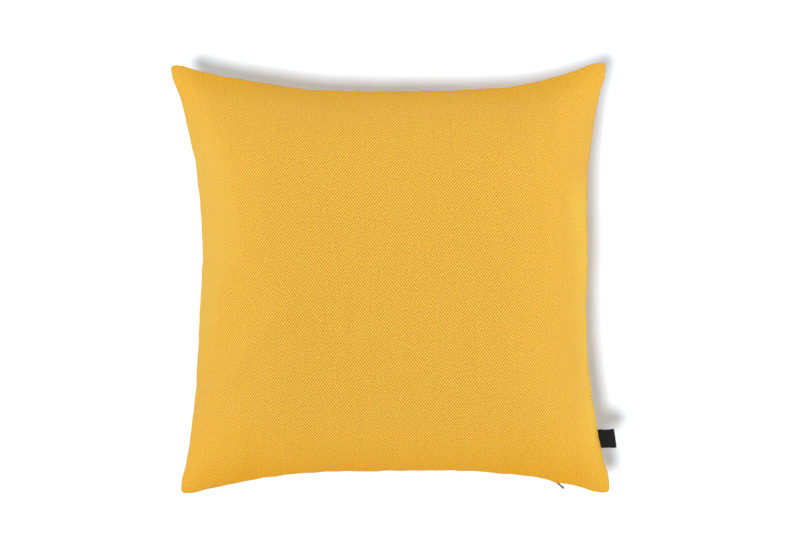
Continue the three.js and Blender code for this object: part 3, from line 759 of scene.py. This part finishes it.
# The label: a plain woven satin tape, folded in half, with both of its ends caught in the
# right-hand seam. It droops a little towards its fold.
LABEL_MIDDLE = Vector((0.2343, -0.179))
LABEL_WIDTH = 0.0205  # along the seam
LABEL_PROUD = 0.0165  # from the seam to the fold
LABEL_ROOT = 0.007  # how deep its ends go into the seam
LABEL_LAYER = 0.0008  # the tape's thickness
LABEL_APART = 0.0014  # between the middles of its two layers
LABEL_DROOP = 0.0035  # how much lower the fold lies than the seam
LABEL_SKEW = 0.14  # how far its ends and fold lean, to stay in line with the seam
LABEL_SHARE = 0.179 / 0.2445  # its place on its side: 0 is the middle, 1 the ear
LABEL_HEIGHT = SEAM_HEIGHT - EAR_DROOP * LABEL_SHARE**3
FOLD_CORNER = 0.05  # the share of its reach that the fold loses at its two corners
FOLD_CORNER_POWER = 12  # higher is a tighter corner
FREE_FROM = 0.004  # how far out of the seam the tape is free to ripple
RIPPLE = {"rise": 0.00022, "slow": 430, "quick": 910}  # a rate is radians for each metre out
CURL = {"rise": 0.0003, "rate": 260}
TAPE_STEPS = 60
TAPE_LINES = 24


def tape_run(share):
    """A point along the folded tape: how far out of the seam it lies, and how far over its middle."""
    half = LABEL_APART / 2
    straight = LABEL_ROOT + LABEL_PROUD - half
    fold = pi * half
    run = share * (2 * straight + fold)
    if run < straight:
        return run - LABEL_ROOT, half
    if run < straight + fold:
        turn = (run - straight) / half
        return LABEL_PROUD - half + half * sin(turn), half * cos(turn)
    return LABEL_PROUD - half - (run - straight - fold), -half


def label_mesh():
    """The folded tape, thickened and with its edges rounded, with a map of its flat length."""
    points = []
    cut = []
    length = 2 * (LABEL_ROOT + LABEL_PROUD) - (2 - pi) * LABEL_APART / 2
    for step in range(TAPE_STEPS + 1):
        out, over = tape_run(step / TAPE_STEPS)
        for line in range(TAPE_LINES + 1):
            across = 2 * line / TAPE_LINES - 1
            proud = max(out, 0)
            reach = out * (1 - FOLD_CORNER * abs(across) ** FOLD_CORNER_POWER) if out > 0 else out
            ripple = sin(out * RIPPLE["slow"] + 1.3 * across) + 0.6 * sin(out * RIPPLE["quick"])
            free = min(1, proud / FREE_FROM)
            y = across * LABEL_WIDTH / 2 + RIPPLE["rise"] * ripple * free
            drop = -LABEL_DROOP * (proud / LABEL_PROUD) ** 2
            curl = CURL["rise"] * across * sin(reach * CURL["rate"]) * proud / LABEL_PROUD
            x = LABEL_MIDDLE.x + reach - LABEL_SKEW * y
            points.append((x, LABEL_MIDDLE.y + y, LABEL_HEIGHT + over + drop + curl))
            cut.append((line / TAPE_LINES * LABEL_WIDTH, step / TAPE_STEPS * length))
    faces = []
    width = TAPE_LINES + 1
    for step in range(TAPE_STEPS):
        for line in range(TAPE_LINES):
            low = step * width + line
            faces.append((low, low + 1, low + width + 1, low + width))
    label = mesh_object("label_tape", np.array(points), np.array(faces))
    tape_map = label.data.uv_layers.new(name="tape")
    for loop in label.data.loops:
        tape_map.data[loop.index].uv = cut[loop.vertex_index]
    label.data.polygons.foreach_set("use_smooth", [True] * len(label.data.polygons))
    thick = label.modifiers.new("thickness", "SOLIDIFY")
    thick.thickness = LABEL_LAYER
    thick.offset = 0
    edge = label.modifiers.new("edge", "BEVEL")
    edge.width = 0.00025
    edge.segments = 2
    bpy.context.view_layer.objects.active = label
    label.select_set(True)
    for modifier in ("thickness", "edge"):
        bpy.ops.object.modifier_apply(modifier=modifier)
    label.select_set(False)
    return label


RIB_PITCH = 0.00055  # along the tape
END_PITCH = 0.0004  # across it, from one lengthwise yarn to the next
TAPE_DARK = (0.0035, 0.0030, 0.0028, 1)
TAPE_LIGHT = (0.0090, 0.0072, 0.0066, 1)


def satin_tape():
    """Black satin: fine ribs across the tape over lengthwise yarns, faded a little in places."""
    material = bpy.data.materials.new("satin_tape")
    material.use_nodes = True
    tree = material.node_tree
    shader = tree.nodes["Principled BSDF"]
    tape = add_node(tree, "ShaderNodeUVMap", uv_map="tape").outputs[0]
    place = add_node(tree, "ShaderNodeSeparateXYZ", {"Vector": tape})
    ribs = maths(tree, "SINE", maths(tree, "MULTIPLY", place.outputs["Y"], 2 * pi / RIB_PITCH))
    ends = maths(tree, "SINE", maths(tree, "MULTIPLY", place.outputs["X"], 2 * pi / END_PITCH))
    weave = maths(tree, "MULTIPLY_ADD", ends, 0.4, ribs)
    uneven, _ = noise_at(tree, tape, scale=900)
    faded = maths(tree, "MULTIPLY_ADD", uneven, 2.0, weave)
    colour = blended(tree, ranged(tree, faded, -1.0, 3.0), TAPE_DARK, TAPE_LIGHT)
    tree.links.new(colour, shader.inputs["Base Color"])
    bump = add_node(tree, "ShaderNodeBump", {"Strength": 0.5, "Distance": 0.0001, "Height": weave})
    tree.links.new(bump.outputs[0], shader.inputs["Normal"])
    shader.inputs["Roughness"].default_value = 0.7
    shader.inputs["Specular IOR Level"].default_value = 0.12
    return material


label = label_mesh()
label.data.materials.append(satin_tape())
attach(label, "root")
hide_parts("label")


# The zip's slider and pull: small die-cast pieces in old brass, parked at the zip's right-hand end.
# The slider sits in the seam's slit, and the pull stands edge-up on the arch over its face.
BRASS_DARK = (0.085, 0.058, 0.018, 1)  # the old plating
BRASS_WORN = (0.300, 0.205, 0.075, 1)  # where handling keeps it bright


def old_brass():
    """Darkened brass with worn, smoother patches and a fine grain."""
    material = bpy.data.materials.new("old_brass")
    material.use_nodes = True
    tree = material.node_tree
    shader = tree.nodes["Principled BSDF"]
    place = add_node(tree, "ShaderNodeTexCoord").outputs["Object"]
    cloud, _ = noise_at(tree, place, scale=420, detail=3)
    colour = blended(tree, ranged(tree, cloud, 0.35, 0.65), BRASS_DARK, BRASS_WORN)
    tree.links.new(colour, shader.inputs["Base Color"])
    tree.links.new(ranged(tree, cloud, 0.0, 1.0, 0.5, 0.28), shader.inputs["Roughness"])
    grain, _ = noise_at(tree, place, scale=5000)
    bump = add_node(tree, "ShaderNodeBump", {"Strength": 0.2, "Distance": 0.00005, "Height": grain})
    tree.links.new(bump.outputs[0], shader.inputs["Normal"])
    shader.inputs["Metallic"].default_value = 1.0
    return material


brass = old_brass()
for name in ("zip_slider", "zip_pull"):
    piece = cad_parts[name]
    piece.material_slots[0].material = brass
    weld = piece.modifiers.new("weld", "WELD")
    weld.merge_threshold = 0.00001
    swelling = piece.modifiers.new("plating", "DISPLACE")
    swelling.strength = 0.00012
    swelling.mid_level = 0
    rounding = piece.modifiers.new("rounding", "BEVEL")
    rounding.width = 0.00022
    rounding.segments = 3
    rounding.limit_method = "ANGLE"
    rounding.angle_limit = radians(35)


# The stage: a plain white floor under soft studio light. The key light stands high at the lower
# left, so the shadow falls to the far and right sides. A fill faces it, and three strips stand low.
FLOOR_SIDE = 60  # its far edge is out of sight from 12 degrees up
FLOOR_WHITE = (0.803, 0.862, 0.932, 1)
AMBIENT = 0.33
AMBIENT_TINT = (0.93, 0.965, 1.0, 1)
KEY = {"azimuth": 227, "elevation": 67.5, "strength": 2.85, "angle": radians(18)}
BOXES = [
    {"name": "fill", "azimuth": 80, "elevation": 38, "power": 3.4, "wide": 1.2, "high": 1.0},
    {"name": "far_strip", "azimuth": 90, "elevation": 14, "power": 5.4, "wide": 1.6, "high": 0.3},
    {"name": "left_strip", "azimuth": 180, "elevation": 14, "power": 5.6, "wide": 1.6, "high": 0.3},
    {"name": "right_strip", "azimuth": 0, "elevation": 14, "power": 13.5, "wide": 1.6, "high": 0.3},
]
LIGHT_DISTANCE = 1.6

bpy.ops.mesh.primitive_plane_add(size=FLOOR_SIDE, location=(0, 0, 0))
floor = bpy.context.active_object
floor.name = "floor"
paper = bpy.data.materials.new("white_paper")
paper.use_nodes = True
paper_shader = paper.node_tree.nodes["Principled BSDF"]
paper_shader.inputs["Base Color"].default_value = FLOOR_WHITE
paper_shader.inputs["Roughness"].default_value = 0.9
paper_shader.inputs["Specular IOR Level"].default_value = 0.0
floor.data.materials.append(paper)

world = bpy.data.worlds.new("studio")
bpy.context.scene.world = world
world.use_nodes = True
background = world.node_tree.nodes["Background"]
background.inputs["Color"].default_value = AMBIENT_TINT
background.inputs["Strength"].default_value = AMBIENT


def add_light(name, kind, azimuth, elevation, strength):
    """A light that looks at the cushion. Azimuth is in degrees, anticlockwise from +X."""
    turn, rise = radians(azimuth), radians(elevation)
    away = Vector((cos(turn) * cos(rise), sin(turn) * cos(rise), sin(rise)))
    light = bpy.data.lights.new(name, kind)
    light.energy = strength
    holder = bpy.data.objects.new(name, light)
    holder.location = away * LIGHT_DISTANCE
    holder.rotation_euler = (-away).to_track_quat("-Z", "Y").to_euler()
    bpy.context.scene.collection.objects.link(holder)
    return light


key = add_light("key", "SUN", KEY["azimuth"], KEY["elevation"], KEY["strength"])
key.angle = KEY["angle"]
for box in BOXES:
    light = add_light(box["name"], "AREA", box["azimuth"], box["elevation"], box["power"])
    light.shape = "RECTANGLE"
    light.size = box["wide"]
    light.size_y = box["high"]

PICTURE_WIDE = 0.890  # at the seam's height
PICTURE_MIDDLE = (0.0108, 0.0050)
LENS = 90
camera = bpy.data.cameras.new("camera")
camera.lens = LENS
camera_object = bpy.data.objects.new("camera", camera)
camera_height = SEAM_HEIGHT + PICTURE_WIDE * LENS / camera.sensor_width
camera_object.location = (*PICTURE_MIDDLE, camera_height)
bpy.context.scene.collection.objects.link(camera_object)
bpy.context.scene.camera = camera_object
bpy.context.scene.view_settings.view_transform = "Standard"
